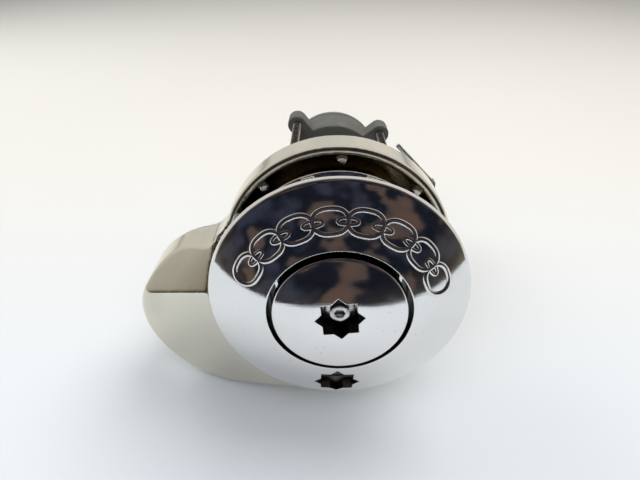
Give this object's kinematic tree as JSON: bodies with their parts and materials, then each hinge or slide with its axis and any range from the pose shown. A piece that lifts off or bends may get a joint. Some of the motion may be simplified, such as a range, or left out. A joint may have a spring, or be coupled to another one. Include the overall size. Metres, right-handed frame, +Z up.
{
  "type": "anchor windlass",
  "caption": "Vertical deck windlass with a domed chrome drum, star-socket clutch nut, rope and chain gypsy, hooded chain pipe, and gearbox and motor below deck.",
  "frame": {"origin": "on the main shaft's axis at the deck face, under the gasket", "axes": "+Z up the shaft out of the deck, the cowl over the chain pipe toward +X and a little to +Y, the motor on the +Y side"},
  "size_m": [0.2015, 0.1518, 0.2212],
  "materials": {
    "polished": "polished, worn",
    "cast_chrome": "polished casting, slightly dull",
    "stainless": "machined",
    "bearing_steel": "ground",
    "bronze": "machined",
    "gear_steel": "machined",
    "rubber": "matte",
    "plastic": "matte",
    "grey_cast": "satin paint over casting",
    "motor_paint": "semi-gloss paint",
    "magnet": "rough",
    "copper": "bare",
    "laminations": "stacked sheet"
  },
  "bodies": {
    "housing": {"base_housing": "cast_chrome", "dish_screws": "stainless", "deck_gasket": "rubber", "hawse_pipe": "plastic", "set_screw": "stainless", "arm_pin": "stainless", "arm_spring": "stainless", "stripper": "cast_chrome", "stripper_screws": "stainless", "upper_bearing": "bearing_steel", "shaft_seal": "rubber", "spacer_tube": "grey_cast", "deck_studs": "stainless", "stud_nuts": "stainless", "stud_washers": "stainless", "gearbox_housing": "grey_cast", "gearbox_cover": "grey_cast", "cover_screws": "stainless", "earth_stud": "stainless", "lower_bearing": "bearing_steel", "idler_axle": "stainless", "motor_flange": "motor_paint", "flange_screws": "stainless", "motor_case": "motor_paint", "motor_magnets": "magnet", "brush_holder": "plastic", "brushes": "magnet", "motor_bearing": "bearing_steel", "bell_bearing": "bearing_steel", "end_bell": "motor_paint", "terminals": "copper", "terminal_nuts": "stainless"},
    "drive": {"main_shaft": "stainless", "cone_key": "stainless", "wheel_key": "stainless", "lower_cone": "bronze", "slow_wheel": "bronze", "circlip": "stainless", "retaining_washer": "stainless", "retaining_screw": "stainless"},
    "drum": {"gypsy": "polished", "gypsy_bush": "bronze", "drum_cap": "polished", "cap_screws": "stainless"},
    "clutch_slide": {"upper_cone": "bronze", "thrust_washer": "stainless"},
    "nut": {"clutch_nut": "polished"},
    "idler": {"idler_gear": "gear_steel"},
    "rotor": {"motor_pinion": "gear_steel", "motor_shaft": "stainless", "armature": "laminations", "commutator": "copper"},
    "arm": {"pressure_arm": "cast_chrome"}
  },
  "joints": [
    {"name": "shaft_spin", "type": "hinge", "parent": "housing", "child": "drive", "pos_m": [0, 0, 0], "axis": [0, 0, 1], "continuous": true},
    {"name": "drum_spin", "type": "hinge", "parent": "drive", "child": "drum", "pos_m": [0, 0, 0], "axis": [0, 0, 1], "continuous": true},
    {"name": "clutch_lift", "type": "slide", "parent": "drive", "child": "clutch_slide", "axis": [0, 0, 1], "range_m": [0, 0.001]},
    {"name": "clutch_turn", "type": "hinge", "parent": "clutch_slide", "child": "nut", "pos_m": [0, 0, 0.07], "axis": [0, 0, 1], "range_deg": [0, 180]},
    {"name": "idler_spin", "type": "hinge", "parent": "housing", "child": "idler", "pos_m": [0.02279, 0.02787, -0.125], "axis": [0, 0, 1], "continuous": true},
    {"name": "motor_spin", "type": "hinge", "parent": "housing", "child": "rotor", "pos_m": [0.00491, 0.04674, -0.08], "axis": [0, 0, 1], "continuous": true},
    {"name": "arm_swing", "type": "hinge", "parent": "housing", "child": "arm", "pos_m": [0.05411, -0.02523, 0.04], "axis": [0, 0, -1], "range_deg": [0, 25], "stiffness_Nm_per_rad": 0.05, "springref_deg": -11.46}
  ],
  "couplings": [
    {"joint": "clutch_lift", "follows": "clutch_turn", "m_per_rad": 0.00031831},
    {"joint": "idler_spin", "follows": "shaft_spin", "ratio": -4.1429},
    {"joint": "motor_spin", "follows": "shaft_spin", "ratio": 13.81}
  ]
}
